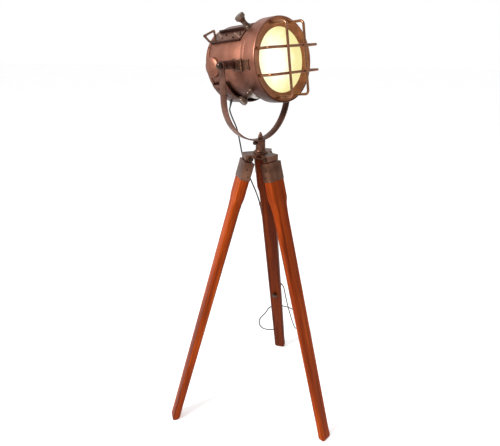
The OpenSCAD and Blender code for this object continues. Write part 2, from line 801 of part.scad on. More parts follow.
hub_casting();
pan_bolt();
finial_nut();
pan_washer();
leg_bolts();
leg_nuts();
pan_lock_screw();
leg_right();
leg_left();
leg_rear();
ferrule_right();
ferrule_left();
ferrule_rear();
ferrule_nails_right();
ferrule_nails_left();
ferrule_nails_rear();
leg_cord_clips();
leg_knob();
yoke_strap();
tilt_spacers();
tilt_knob_near();
tilt_knob_far();
drum_shell();
drum_collar();
rear_cap();
shell_screws();
air_scoop();
vent_rails();
vent_panel();
vent_gussets();
vent_bolts();
safety_loop();
side_covers();
trunnion_bosses();
hinge_leaf_drum();
hinge_pin();
clamp_lugs();
reflector();
lamp_socket();
bulb();
cord_gland();
cord_relief();
clamp_screw_top();
clamp_screw_bottom();
clamp_screw_far();
bezel_ring();
lens_glass();
lens_gasket();
guard_bar_top();
guard_bar_bottom();
guard_bar_near();
guard_bar_far();
hinge_leaf_door();
door_screws();
cord_head();
cord_yoke();
cord_hub();
cord_leg();
cord_floor();
plug();
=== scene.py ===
import bmesh
import bpy
import json
import math
from mathutils import Matrix, Vector

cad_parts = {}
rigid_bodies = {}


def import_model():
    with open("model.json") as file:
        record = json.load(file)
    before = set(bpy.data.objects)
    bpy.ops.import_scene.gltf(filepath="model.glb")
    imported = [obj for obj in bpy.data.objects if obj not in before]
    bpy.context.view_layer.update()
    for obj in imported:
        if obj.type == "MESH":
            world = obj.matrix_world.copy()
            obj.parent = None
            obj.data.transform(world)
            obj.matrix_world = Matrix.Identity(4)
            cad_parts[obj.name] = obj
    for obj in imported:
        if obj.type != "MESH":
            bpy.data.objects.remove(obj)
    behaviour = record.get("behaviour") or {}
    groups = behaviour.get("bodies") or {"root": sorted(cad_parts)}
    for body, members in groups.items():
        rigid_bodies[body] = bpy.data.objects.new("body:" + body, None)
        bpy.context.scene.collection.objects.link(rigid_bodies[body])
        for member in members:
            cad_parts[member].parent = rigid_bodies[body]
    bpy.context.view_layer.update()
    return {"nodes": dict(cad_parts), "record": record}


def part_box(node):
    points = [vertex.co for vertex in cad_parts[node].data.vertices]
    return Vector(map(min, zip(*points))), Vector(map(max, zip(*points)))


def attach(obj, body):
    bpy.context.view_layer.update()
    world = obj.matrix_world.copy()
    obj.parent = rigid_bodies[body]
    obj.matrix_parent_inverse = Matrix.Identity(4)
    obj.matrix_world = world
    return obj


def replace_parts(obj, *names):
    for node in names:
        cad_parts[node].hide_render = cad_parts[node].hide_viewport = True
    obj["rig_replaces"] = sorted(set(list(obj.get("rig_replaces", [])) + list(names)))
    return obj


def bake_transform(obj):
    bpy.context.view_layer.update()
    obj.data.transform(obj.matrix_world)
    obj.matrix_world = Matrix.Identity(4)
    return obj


MM = 0.001

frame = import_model()
record = frame["record"]
joints = {j["name"]: j for j in record["behaviour"]["joints"]}
mounts = {m["name"]: m for m in record["mounts"]}


# ---------------------------------------------------------------- frames

def axes_frame(origin, x_axis, y_axis, z_axis):
    """A matrix that carries millimetres in a local frame to metres in the row frame."""
    columns = [Vector(axis).normalized() for axis in (x_axis, y_axis, z_axis)]
    turn = Matrix(columns).transposed().to_4x4()
    return Matrix.Translation(Vector(origin)) @ turn @ Matrix.Scale(MM, 4)


# The head's own frame: +X towards the near tilt knob, +Y along the beam, +Z up in the drum
TILT = joints["head_tilt"]
SIDE = Vector(TILT["axis"])
UP_HEAD = -Vector(joints["door_hinge"]["axis"])
HEAD = axes_frame(TILT["pos_m"], SIDE, UP_HEAD.cross(SIDE), UP_HEAD)
HEAD_INVERSE = HEAD.inverted()
BEAM = tuple((HEAD.to_3x3() @ Vector((0, 1, 0))).normalized())


def leg_frame(name):
    """+X outward, +Y tangential, -Z down along the leg, from the leg's pivot."""
    joint = joints[f"leg_{name}_fold"]
    pivot, foot = Vector(joint["pos_m"]), Vector(mounts[f"foot_{name}"]["pos_m"])
    up = (pivot - foot).normalized()
    tangent = Vector(joint["axis"])
    return axes_frame(pivot, tangent.cross(up), tangent, up)


LEGS = {name: leg_frame(name) for name in ("right", "left", "rear")}


# ---------------------------------------------------------------- camera

def set_camera():
    """A camera a little above the head, looking down its own line at the whole lamp."""
    place = Vector((0.0, -1.5887, 1.5025))
    pitch, yaw, roll = 0.401, -0.055, 0.019
    sensor_mm, lens_mm = 36.0, 35.0208
    shift_x, shift_y = -0.0706, -0.02
    nearest, farthest = 0.01, 50
    ahead = Vector((-math.sin(yaw) * math.cos(pitch), math.cos(yaw) * math.cos(pitch), -math.sin(pitch)))
    level = Vector((math.cos(yaw), math.sin(yaw), 0))
    upright = level.cross(ahead)
    right = level * math.cos(roll) + upright * math.sin(roll)
    up = -level * math.sin(roll) + upright * math.cos(roll)
    data = bpy.data.cameras.new("camera")
    data.sensor_width, data.lens = sensor_mm, lens_mm
    data.shift_x, data.shift_y = shift_x, shift_y
    data.clip_start, data.clip_end = nearest, farthest
    camera = bpy.data.objects.new("camera", data)
    turn = Matrix((right, up, -ahead)).transposed().to_4x4()
    camera.matrix_world = Matrix.Translation(place) @ turn
    bpy.context.scene.collection.objects.link(camera)
    bpy.context.scene.camera = camera


set_camera()


# ---------------------------------------------------------------- material nodes

BLACK, WHITE = (0, 0, 0), (1, 1, 1)


class Nodes:
    """A short way to write a node material."""

    def __init__(self, name):
        self.material = bpy.data.materials.new(name)
        self.material.use_nodes = True
        self.tree = self.material.node_tree
        self.shader = self.tree.nodes["Principled BSDF"]

    def new(self, kind, **settings):
        node = self.tree.nodes.new(kind)
        for key, value in settings.items():
            setattr(node, key, value)
        return node

    def link(self, source, target):
        self.tree.links.new(source, target)

    def drive(self, **sources):
        """Links outputs to the shader's inputs, as in Base_Color=output."""
        for key, source in sources.items():
            self.link(source, self.shader.inputs[key.replace("_", " ")])

    def set(self, **values):
        for key, value in values.items():
            self.shader.inputs[key.replace("_", " ")].default_value = value

    def feed(self, socket, value):
        """Gives a socket a number, a colour or another node's output."""
        if isinstance(value, (int, float)):
            socket.default_value = value
        elif isinstance(value, tuple):
            socket.default_value = (*value, 1)
        else:
            self.link(value, socket)

    def object_place(self):
        return self.new("ShaderNodeTexCoord").outputs["Object"]

    def named_place(self, attribute):
        return self.new("ShaderNodeAttribute", attribute_name=attribute).outputs["Vector"]

    def vector_math(self, operation, vector, other, output="Vector"):
        node = self.new("ShaderNodeVectorMath", operation=operation)
        self.link(vector, node.inputs[0])
        node.inputs[1].default_value = other
        return node.outputs[output]

    def scaled(self, vector, scale):
        return self.vector_math("MULTIPLY", vector, scale)

    def along(self, vector, axis):
        return self.vector_math("DOT_PRODUCT", vector, axis, "Value")

    def math(self, operation, a, b):
        node = self.new("ShaderNodeMath", operation=operation)
        for socket, value in zip(node.inputs, (a, b)):
            self.feed(socket, value)
        return node.outputs[0]

    def noise(self, vector, scale, detail=4.0, roughness=0.55, distortion=0.0):
        node = self.new("ShaderNodeTexNoise")
        self.link(vector, node.inputs["Vector"])
        node.inputs["Scale"].default_value = scale
        node.inputs["Detail"].default_value = detail
        node.inputs["Roughness"].default_value = roughness
        node.inputs["Distortion"].default_value = distortion
        return node.outputs["Fac"]

    def line_noise(self, value, scale, detail):
        node = self.new("ShaderNodeTexNoise", noise_dimensions="1D")
        self.link(value, node.inputs["W"])
        node.inputs["Scale"].default_value = scale
        node.inputs["Detail"].default_value = detail
        return node.outputs["Fac"]

    def ramp(self, value, *stops):
        node = self.new("ShaderNodeValToRGB")
        self.link(value, node.inputs[0])
        elements = node.color_ramp.elements
        while len(elements) < len(stops):
            elements.new(0.5)
        for element, (place, colour) in zip(elements, stops):
            element.position = place
            element.color = (*colour, 1)
        return node.outputs[0]

    def mix(self, factor, a, b, blend="MIX"):
        node = self.new("ShaderNodeMix", data_type="RGBA", blend_type=blend)
        factor_in, colour_a_in, colour_b_in, colour_out = 0, 6, 7, 2
        self.feed(node.inputs[factor_in], factor)
        self.feed(node.inputs[colour_a_in], a)
        self.feed(node.inputs[colour_b_in], b)
        return node.outputs[colour_out]

    def darkened(self, factor, colour, shade):
        return self.mix(factor, colour, shade, "MULTIPLY")

    def span(self, value, low, high):
        """Carries 0..1 to low..high."""
        node = self.new("ShaderNodeMapRange")
        self.link(value, node.inputs[0])
        node.inputs["To Min"].default_value = low
        node.inputs["To Max"].default_value = high
        return node.outputs[0]

    def smooth_step(self, value, low, high):
        """0 below low, 1 above high, eased between."""
        node = self.new("ShaderNodeMapRange", interpolation_type="SMOOTHSTEP")
        self.link(value, node.inputs[0])
        node.inputs["From Min"].default_value = low
        node.inputs["From Max"].default_value = high
        return node.outputs[0]

    def bump(self, height, strength, distance, under=None):
        node = self.new("ShaderNodeBump")
        node.inputs["Strength"].default_value = strength
        node.inputs["Distance"].default_value = distance
        self.link(height, node.inputs["Height"])
        if under is not None:
            self.link(under, node.inputs["Normal"])
        return node.outputs[0]


# ---------------------------------------------------------------- materials

# Painted shade: the colour of the copper shells is darkened from high to low along the head's own upright,
# standing in for the shade under the drum
PAINTED_UNDERSIDE_SHADE = {"axis": UP_HEAD, "centre": HEAD.translation, "low": -0.10, "high": 0.03,
             "shade": (0.25, 0.20, 0.18)}


# Painted shade: darkens a colour from high to low along an axis, with a ragged edge
def paint_underside_shade(n, place, cloud, colour, axis, centre, low, high, shade):
    raggedness = 0.03
    level = n.math("ADD", n.along(place, tuple(axis)), -axis.dot(centre))
    level = n.math("ADD", level, n.math("MULTIPLY", n.math("SUBTRACT", cloud, 0.5), raggedness))
    reach = n.ramp(n.smooth_step(level, low, high), (0, WHITE), (1, BLACK))
    return n.darkened(reach, colour, shade)


def metal(name, dark, base, light, roughness, metallic, lines=None, coarse=0.25, under=None):
    """Patinated metal: cloudy colour, small pits, and turning lines across an axis where it was spun. If
    under is given, shade is painted in, darkening the colour towards the underside.
    """
    n = Nodes(name)
    place = n.object_place()
    cloud = n.noise(place, 26, 5, 0.6)
    pits = n.noise(place, 260, 4, 0.6)
    tone = n.ramp(cloud, (0.3, dark), (0.5, base), (0.72, light))
    specks = n.ramp(pits, (0.35, (0.55, 0.55, 0.55)), (0.55, WHITE))
    colour = n.darkened(coarse, tone, specks)
    height = pits
    # Painted shade towards the underside
    if under is not None:
        colour = paint_underside_shade(n, place, cloud, colour, **under)
    if lines is not None:
        turned_lines = n.line_noise(n.along(place, lines), 900, 4)
        streaks = n.ramp(turned_lines, (0.3, (0.62, 0.6, 0.58)), (0.6, (1.06, 1.05, 1.04)))
        colour = n.darkened(0.35, colour, streaks)
        height = n.math("ADD", n.math("MULTIPLY", turned_lines, 0.8), n.math("MULTIPLY", pits, 0.4))
    n.set(Metallic=metallic)
    n.drive(Base_Color=colour, Roughness=n.span(cloud, roughness + 0.1, roughness - 0.07),
            Normal=n.bump(height, 0.22, 0.0004))
    return n.material


def wood(name, depth):
    """Stained straight-grained hardwood under a thin varnish; depth scales every tone, and below 1 paints
    shade on a leg that stands in shadow. Reads the leg's own place from the mesh.
    """
    n = Nodes(name)
    place = n.named_place("grain")
    streaks = n.noise(n.scaled(place, (26.0, 26.0, 0.9)), 1.5, 6, 0.62, 0.6)
    figure = n.noise(n.scaled(place, (70.0, 70.0, 2.2)), 1.6, 5, 0.6, 0.4)
    pores = n.noise(n.scaled(place, (420.0, 420.0, 9.0)), 2.0, 3, 0.5)
    stains = ((0.30, (0.11, 0.013, 0.001)), (0.46, (0.25, 0.034, 0.002)),
              (0.60, (0.40, 0.062, 0.003)), (0.76, (0.54, 0.100, 0.005)))
    tone = n.ramp(streaks, *((at, tuple(part * depth for part in colour)) for at, colour in stains))
    tone = n.darkened(0.55, tone, n.ramp(figure, (0.34, (0.45, 0.34, 0.28)), (0.6, (1.12, 1.08, 1.0))))
    tone = n.darkened(0.5, tone, n.ramp(pores, (0.38, (0.38, 0.3, 0.26)), (0.5, WHITE)))
    n.set(Coat_Weight=0.02, Coat_Roughness=0.2, Specular_IOR_Level=0.05)
    n.drive(Base_Color=tone, Roughness=n.span(figure, 0.52, 0.40),
            Normal=n.bump(figure, 0.15, 0.0008, n.bump(pores, 0.25, 0.0004)))
    return n.material


def plain(name, colour, roughness, grain=900):
    """Moulded plastic or glazed ceramic with a fine grain."""
    n = Nodes(name)
    fine = n.noise(n.object_place(), grain, 3)
    paler = tuple(min(1.0, part * 1.5 + 0.004) for part in colour)
    n.drive(Base_Color=n.mix(n.ramp(fine, (0.3, BLACK), (0.7, WHITE)), colour, paler),
            Roughness=n.span(fine, roughness - 0.06, roughness + 0.08),
            Normal=n.bump(fine, 0.15, 0.0003))
    return n.material


def glowing_lens(name):
    """Frosted lens lit from behind: white where the lamp stands behind it, pale yellow away from it."""
    centre = tuple(HEAD @ Vector((0, 90, 0)))
    bright_spot_m = 0.03
    fall_across, fall_up = 10.5, 10.0
    n = Nodes(name)
    place = n.object_place()
    offset = n.vector_math("SUBTRACT", place, centre)
    across = n.math("ADD", n.along(offset, tuple(SIDE)), -bright_spot_m)
    height = n.along(offset, tuple(UP_HEAD))
    square = n.math("ADD", n.math("POWER", n.math("MULTIPLY", across, fall_across), 2.0),
                    n.math("POWER", n.math("MULTIPLY", height, fall_up), 2.0))
    ripple = n.noise(place, 55, 4, 0.5)
    unevenness = n.math("MULTIPLY", n.math("SUBTRACT", ripple, 0.5), 0.5)
    reach = n.math("ADD", n.math("SQRT", square, 0.5), unevenness)
    glow = n.ramp(reach, (0.26, (1.0, 1.0, 0.95)), (0.52, (0.98, 0.97, 0.74)), (0.85, (0.92, 0.88, 0.45)),
                  (1.0, (0.88, 0.80, 0.34)))
    n.set(Base_Color=(0.12, 0.11, 0.07, 1), Roughness=0.28)
    n.drive(Emission_Color=glow, Emission_Strength=n.span(n.math("SUBTRACT", 1.0, reach), 0.95, 1.25),
            Normal=n.bump(ripple, 0.3, 0.001))
    return n.material


def opal_bulb(name):
    n = Nodes(name)
    ripple = n.noise(n.object_place(), 80, 3)
    n.set(Emission_Strength=2.5, Roughness=0.2)
    n.drive(Emission_Color=n.ramp(ripple, (0.3, (1.0, 0.9, 0.68)), (0.7, (1.0, 0.95, 0.8))))
    return n.material


MATERIALS = {
    # The copper shells get painted shade towards their underside
    "copper_shell": metal("spun_copper", (0.21, 0.081, 0.051), (0.28, 0.111, 0.071), (0.35, 0.145, 0.095),
                          0.42, 0.9, lines=BEAM, under=PAINTED_UNDERSIDE_SHADE),
    # Painted light: the bevel inside the door is copper painted a warmer orange, standing in for the lamp's
    # warm light on it
    "bezel_inner": metal("bevel_copper_painted_lamp_light", (0.19, 0.062, 0.018), (0.31, 0.105, 0.032), (0.42, 0.15, 0.05),
                         0.4, 0.7),
    "yoke_copper": metal("strap_copper", (0.07, 0.029, 0.019), (0.13, 0.057, 0.039), (0.21, 0.10, 0.07),
                         0.4, 0.9),
    "bronze_fitting": metal("antique_bronze", (0.08, 0.034, 0.020), (0.125, 0.056, 0.034),
                            (0.19, 0.092, 0.06), 0.4, 0.95, coarse=0.15),
    "dark_steel": metal("dark_steel", (0.018, 0.009, 0.006), (0.04, 0.020, 0.012), (0.11, 0.055, 0.035),
                        0.36, 0.8),
    "thumb_screw": metal("turned_bronze", (0.055, 0.030, 0.02), (0.10, 0.06, 0.042), (0.18, 0.12, 0.09),
                         0.36, 0.85),
    "guard_rod": metal("copper_rod", (0.13, 0.05, 0.023), (0.25, 0.105, 0.052), (0.38, 0.175, 0.095),
                       0.3, 0.9),
    "lug": metal("cast_lug", (0.08, 0.042, 0.028), (0.14, 0.08, 0.056), (0.22, 0.14, 0.105), 0.42, 0.7),
    "lug_pale": metal("cast_block", (0.30, 0.27, 0.24), (0.42, 0.39, 0.35), (0.52, 0.49, 0.45), 0.45, 0.4),
    "tray_dark": metal("tray_edge", (0.03, 0.010, 0.007), (0.05, 0.018, 0.012), (0.08, 0.031, 0.021),
                       0.42, 0.85),
    "tray_tan": metal("tray_copper", (0.12, 0.05, 0.033), (0.17, 0.076, 0.05), (0.23, 0.11, 0.075), 0.4, 0.9),
    "tray_rib": metal("tray_rib_copper", (0.24, 0.12, 0.085), (0.36, 0.20, 0.145), (0.48, 0.30, 0.23),
                      0.32, 0.8),
    "leg_wood": wood("stained_wood", 1.0),
    # Painted shade: the same wood darkened to 0.42, for the rear leg that stands in shadow
    "leg_wood_dark": wood("stained_wood_painted_shade", 0.42),
    "cord": plain("cord_sheath", (0.012, 0.012, 0.012), 0.45),
    "plug": plain("moulded_plug", (0.018, 0.018, 0.018), 0.4),
    "glass": glowing_lens("lit_lens"),
    "reflector": metal("spun_reflector", (0.7, 0.66, 0.6), (0.82, 0.79, 0.74), (0.9, 0.88, 0.84),
                       0.2, 1.0, lines=BEAM),
    "ceramic": plain("porcelain", (0.78, 0.76, 0.7), 0.25, 300),
    "bulb": opal_bulb("opal_bulb"),
}


# ---------------------------------------------------------------- mesh helpers

def finish_piece(name, data, slot, body, replaces, smooth_angle, material=None):
    """Gives a mesh its shading and material, hangs it on its body and names what it replaces."""
    work = bmesh.new()
    work.from_mesh(data)
    bmesh.ops.recalc_face_normals(work, faces=work.faces)
    limit = math.radians(smooth_angle)
    for face in work.faces:
        face.smooth = True
    for edge in work.edges:
        edge.smooth = len(edge.link_faces) == 2 and edge.calc_face_angle(0) < limit
    work.to_mesh(data)
    work.free()
    piece = bpy.data.objects.new(name, data)
    bpy.context.scene.collection.objects.link(piece)
    data.materials.clear()
    data.materials.append(material or MATERIALS[slot])
    if body:
        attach(piece, body)
    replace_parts(piece, *replaces)
    return piece


def mesh_piece(name, part, slot, body, replaces, smooth_angle, place=None, material=None):
    """Makes a piece from (points, faces); place carries the points from millimetres to the row frame."""
    verts, faces = part
    data = bpy.data.meshes.new(name)
    data.from_pydata([tuple(place @ Vector(v)) if place else tuple(v) for v in verts], [], faces)
    return finish_piece(name, data, slot, body, replaces, smooth_angle, material)


def rounded(profile, radius, steps):
    """A closed outline whose corners to the right of the axis are turned into short arcs."""
    on_axis, too_short, share = 1e-6, 1e-4, 0.45
    points = []
    count = len(profile)
    for i, corner in enumerate(profile):
        corner = Vector(corner)
        before, after = Vector(profile[i - 1]) - corner, Vector(profile[(i + 1) % count]) - corner
        reach = min(radius, share * before.length, share * after.length)
        if corner.x < on_axis or reach < too_short:
            points.append(corner)
            continue
        first, last = corner + before.normalized() * reach, corner + after.normalized() * reach
        for k in range(steps + 1):
            t = k / steps
            points.append(first * (1 - t) ** 2 + corner * 2 * t * (1 - t) + last * t ** 2)
    return points


def turned(profile, segments, wave=None):
    """A solid of revolution about local Y from a closed [radius, y] outline; wave shapes the radius."""
    verts, faces = [], []
    count = len(profile)
    axis_points = [p[0] < 1e-6 for p in profile]
    index = {}
    for s in range(segments):
        angle = 2 * math.pi * s / segments
        for i, (radius, y) in enumerate(profile):
            if axis_points[i]:
                if i not in index:
                    index[i] = len(verts)
                    verts.append((0, y, 0))
                index[s, i] = index[i]
                continue
            r = radius * (wave(angle, y, radius) if wave else 1)
            index[s, i] = len(verts)
            verts.append((r * math.cos(angle), y, r * math.sin(angle)))
    for s in range(segments):
        t = (s + 1) % segments
        for i in range(count):
            j = (i + 1) % count
            face = [index[s, i], index[s, j], index[t, j], index[t, i]]
            face = [v for k, v in enumerate(face) if v != face[k - 1]]
            if len(set(face)) >= 3:
                faces.append(face)
    return verts, faces


def skinned(rings):
    """A closed skin over rings that have the same number of points."""
    count, last = len(rings[0]), len(rings) - 1
    faces = []
    for i in range(last):
        for k in range(count):
            m = (k + 1) % count
            faces.append([i * count + k, i * count + m, (i + 1) * count + m, (i + 1) * count + k])
    faces.append(list(range(count))[::-1])
    faces.append([last * count + k for k in range(count)])
    return [point for ring in rings for point in ring], faces


def tube(path, radii, sides):
    """A swept tube whose rings turn as little as possible."""
    rings = []
    side = Vector((0, 1, 0))
    for i, (point, radius) in enumerate(zip(path, radii)):
        ahead = (path[min(i + 1, len(path) - 1)] - path[max(i - 1, 0)]).normalized()
        if abs(ahead.dot(side)) > 0.95:
            side = ahead.orthogonal()
        side = (side - ahead * side.dot(ahead)).normalized()
        other = ahead.cross(side)
        angles = [2 * math.pi * k / sides for k in range(sides)]
        rings.append([point + side * (radius * math.cos(a)) + other * (radius * math.sin(a)) for a in angles])
    return skinned(rings)


def spline(points, steps):
    """Catmull-Rom points, the same curve as the CAD cord's."""
    path = []
    last = len(points) - 1
    for i in range(last):
        a, b = Vector(points[max(i - 1, 0)]), Vector(points[i])
        c, d = Vector(points[i + 1]), Vector(points[min(i + 2, last)])
        for k in range(steps):
            t = k / steps
            path.append(0.5 * (2 * b + (c - a) * t + (2 * a - 5 * b + 4 * c - d) * t * t
                               + (3 * b - 3 * c + d - a) * t ** 3))
    path.append(Vector(points[last]))
    return path


def joined(*parts):
    """Several (points, faces) as one."""
    verts, faces = [], []
    for some_verts, some_faces in parts:
        base = len(verts)
        verts.extend(some_verts)
        faces.extend([[v + base for v in face] for face in some_faces])
    return verts, faces


def moved(part, matrix):
    verts, faces = part
    return [matrix @ Vector(v) for v in verts], faces


# ---------------------------------------------------------------- CAD nodes with soft edges

SLOTS = {s["node"]: s["material_slot"] for s in record["subparts"]}
BODIES = {node: body for body, nodes in record["behaviour"]["bodies"].items() for node in nodes}


def soft_edged(node, width, material):
    """A piece with the CAD node's shape and small rounded edges that catch the light."""
    weld, flat_angle, sharp_angle, smooth_angle = 2e-6, 0.6, 38, 40
    source = frame["nodes"][node]
    work = bmesh.new()
    work.from_mesh(source.data)
    bmesh.ops.transform(work, matrix=source.matrix_world, verts=work.verts)
    bmesh.ops.remove_doubles(work, verts=work.verts, dist=weld)
    bmesh.ops.dissolve_limit(work, angle_limit=math.radians(flat_angle), verts=work.verts, edges=work.edges)
    data = bpy.data.meshes.new(node + "_finished")
    work.to_mesh(data)
    work.free()
    holder = bpy.data.objects.new(node + "_work", data)
    bpy.context.scene.collection.objects.link(holder)
    bevel = holder.modifiers.new("edge", "BEVEL")
    bevel.width = width * MM
    bevel.segments = 2
    bevel.limit_method = "ANGLE"
    bevel.angle_limit = math.radians(sharp_angle)
    bevel.use_clamp_overlap = True
    bevel.miter_outer = "MITER_ARC"
    graph = bpy.context.evaluated_depsgraph_get()
    finished = bpy.data.meshes.new_from_object(holder.evaluated_get(graph))
    bpy.data.objects.remove(holder)
    finished.name = node + "_finished"
    return finish_piece(node + "_finished", finished, SLOTS[node], BODIES[node], (node,), smooth_angle,
                        material)


# ---------------------------------------------------------------- cord

CORD_R = 0.0025
STEPS = 8
ROUTE = [
    (-98.4, 24.7, 1199.4), (-100.6, 20.1, 1187.7), (-95, 25, 1166),
    (-80, 39, 1122), (-72, 50, 1080),
    (-64, 60, 1028), (-51, 69, 982), (-38, 79, 933), (-19, 94, 878),
    (-4, 108, 826), (3, 118, 785), (10, 132, 748), (25, 145, 718),
    (41, 154, 690), (48, 174, 620), (56, 200, 520), (64, 222, 440),
    (73, 231, 412), (88, 233, 396), (100, 240, 372),
    (112, 272, 300), (126, 306, 225), (142, 345, 146), (158, 383, 75),
    (171, 417, 27), (184, 452, 5), (197, 490, 2.6), (203, 530, 2.6),
    (190, 590, 2.6), (145, 638, 2.6), (88, 655, 2.6), (48, 638, 2.6),
    (24, 589, 2.6), (-5, 535, 2.6), (-8, 490, 2.6), (8, 456, 2.6),
    (42, 440, 2.6), (72, 448, 2.6), (88, 472, 2.6), (90, 500, 2.6),
]
# The route's points between which each stretch runs
STRETCHES = {
    "cord_head": (0, 2),
    "cord_yoke": (2, 5),
    "cord_hub": (5, 9),
    "cord_leg": (9, 19),
    "cord_floor": (19, 39),
}
# Stretches that run between two bodies: their two bodies, and the route's points where each is wholly on one
# of them; the script only leaves these stretches on no body
BENDS = {
    "cord_head": (("yoke", "head"), 2, 0),
    "cord_yoke": (("hub", "yoke"), 5, 2),
    "cord_hub": (("hub", "leg_rear"), 5, 9),
    "cord_floor": (("leg_rear", "hub"), 19, 25),
}


def route_point(i):
    return Vector(ROUTE[i]) * MM


def plug_body(x, y0, z):
    """The moulded grip, in rings that are nearly rectangular."""
    sections = [(22, 7.0, 6.0), (26, 10.5, 8.6), (34, 12.4, 10.2), (44, 12.8, 10.6), (50, 12.6, 10.4),
                (52, 11.4, 9.6)]
    sides, power = 32, 3.2
    rings = []
    for along, half_w, half_h in sections:
        ring = []
        for k in range(sides):
            angle = 2 * math.pi * k / sides
            c, s = math.cos(angle), math.sin(angle)
            squarish = (abs(c) ** power + abs(s) ** power) ** (-1 / power)
            ring.append((x + half_w * c * squarish, y0 + along, z + half_h * s * squarish))
        rings.append(ring)
    return skinned(rings)


def plug_relief(x, y0, z):
    """The ribbed sleeve, from the cord on the floor up to the middle of the plug."""
    steps, length, cord_z, thin_r, growth, rib = 44, 24, 2.7, 2.55, 2.2, 0.35
    path, radii = [], []
    for i in range(steps + 1):
        t = i / steps
        rise = max(0, t - 0.25) ** 1.2 * 1.4
        path.append(Vector((x, y0 + 0.2 + length * t, cord_z + (z - cord_z) * rise)))
        ribbed = i % 4 < 2 and 4 < i < 40
        radii.append(thin_r + growth * t + (rib if ribbed else 0.0))
    return tube(path, radii, 20)


def plug_pin(x, y0, z):
    length, steps = 18, 6
    path = [Vector((x, y0 + length * i / steps, z)) for i in range(steps + 1)]
    return tube(path, [2.3, 2.3, 2.3, 2.3, 2.3, 2.0, 1.0], 16)


def make_plug():
    """A moulded two-pin plug with a ribbed, tapered strain relief."""
    low, high = (Vector(v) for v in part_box("plug"))
    z = (low.z + high.z) / 2 / MM
    end = route_point(-1)
    x, y0 = end.x / MM, end.y / MM
    pin_gap, pin_start = 6.5, 51.5
    pins = [plug_pin(x + side * pin_gap, y0 + pin_start, z) for side in (-1, 1)]
    verts, faces = joined(plug_body(x, y0, z), plug_relief(x, y0, z), *pins)
    metres = [Vector(v) * MM for v in verts]
    return mesh_piece("plug_moulded", (metres, faces), "plug", "hub", ("plug",), 40)


def make_relief():
    """The tapered strain relief on the head, with its flex rings."""
    node = "cord_relief"
    steps, length, overlap, wide_r, taper, depth = 44, 22, 0.3, 5.3, 2.4, 0.5
    out = (Vector(ROUTE[1]) - Vector(ROUTE[0])).normalized()
    path, radii = [], []
    for i in range(steps + 1):
        t = i / steps
        path.append(route_point(0) - out * MM * (overlap + length * (1 - t)))
        grooved = i % 6 > 3 and 6 < i < 42
        radii.append((wide_r - taper * t - (depth if grooved else 0.0)) * MM)
    return mesh_piece("cord_relief_ribbed", tube(path, radii, 24), "cord", BODIES[node], (node,), 50)


def make_cords():
    relief, plug = make_relief(), make_plug()
    whole = spline([route_point(i) for i in range(len(ROUTE))], STEPS)
    for node, (first, last) in STRETCHES.items():
        path = whole[first * STEPS:last * STEPS + 1]
        part = tube(path, [CORD_R] * len(path), 16)
        body = None if node in BENDS else BODIES[node]
        piece = mesh_piece(f"{node}_flex", part, "cord", body, (node,), 60)
        if node in BENDS:
            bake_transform(piece)


make_cords()


# ---------------------------------------------------------------- legs

LEG_TOP, LEG_AFTER, LEG_FOOT = (63, 31), (54, 30), (46, 26)
SHOULDER_S, SWELL_S, SWELL_END_S, LAST_RING_S, FOOT_S = 13.5, 135, 165, 1028, 1077.1


def leg_sections():
    """Half width, half thickness and chamfer of a leg at each distance below its pivot."""
    top_chamfer, after_chamfer, widest_chamfer, chamfer_growth = 0.8, 3.0, 5.4, 0.08
    stations = [SHOULDER_S, 40, 70, 100, 130]
    stations += [SWELL_S + i * (SWELL_END_S - SWELL_S) / 10 for i in range(11)]
    stations += [172, 182, 196] + [196 + i * 60 for i in range(1, 14)] + [LAST_RING_S]
    rings = []
    for s in stations:
        if s < SWELL_END_S:
            t = max(0, (s - SWELL_S) / (SWELL_END_S - SWELL_S))
            ease = t * t * (3 - 2 * t)
            sizes = [(top + (after - top) * ease) / 2 for top, after in zip(LEG_TOP, LEG_AFTER)]
            chamfer = top_chamfer + (after_chamfer - top_chamfer) * ease
        else:
            t = (s - SWELL_END_S) / (FOOT_S - SWELL_END_S)
            sizes = [(after + (foot - after) * t) / 2 for after, foot in zip(LEG_AFTER, LEG_FOOT)]
            chamfer = min(after_chamfer + (s - SWELL_END_S) * chamfer_growth, widest_chamfer)
        rings.append((s, *sizes, chamfer))
    return rings


def ring_outline(half_w, half_t, chamfer, inset=0.0):
    """A chamfered rectangle in the leg's X (thickness) and Y (width), its outward corners slightly eased."""
    a, b, c = half_t - inset, half_w - inset, chamfer
    corners = [(a, -(b - c)), (a, b - c), (a - c, b), (-(a - c), b),
               (-a, b - c), (-a, -(b - c)), (-(a - c), -b), (a - c, -b)]
    return rounded(corners, min(1.2, c * 0.4 + 0.2), 2)


def foot_rings(matrix):
    """The last rings of a leg, level with the floor and drawn in to a softly rounded end."""
    half_w, half_t, chamfer, narrowing = 23.2, 13.2, 4.5, 0.2
    eased = ((14, 0.0), (8, 0.35), (4.2, 1.3), (1.6, 3.0), (0.35, 4.9), (0.0, 6.4))
    inverse = matrix.inverted()
    down = matrix.to_3x3() @ Vector((0, 0, -1))
    rings = []
    for height, inset in eased:
        ring = []
        for p in ring_outline(half_w, half_t, chamfer - narrowing * inset, inset):
            point = matrix @ Vector((p.x, p.y, 0))
            travel = (height * MM - point.z) / down.z
            ring.append(inverse @ (point + down * travel))
        rings.append(ring)
    return rings


def tongue_part():
    """The narrow head of a leg, rounded about its pivot with a square heel on the outside."""
    radius, half, heel, low, bevel = 9.7, 19.7, 7.1, -16, 1
    meet = math.asin(heel / radius)
    square_end = ((-radius, low), (radius, low), (radius, heel - bevel), (radius - bevel, heel))
    outline = [Vector(p) for p in square_end]
    outline += [Vector((radius * math.cos(a), radius * math.sin(a)))
                for a in (meet + (math.pi - meet) * i / 14 for i in range(15))]
    count = len(outline)
    verts = [Vector((p.x, side * half, p.y)) for side in (-1, 1) for p in outline]
    faces = [[k, (k + 1) % count, count + (k + 1) % count, count + k] for k in range(count)]
    faces += [list(range(count)), [count + k for k in range(count)][::-1]]
    return verts, faces


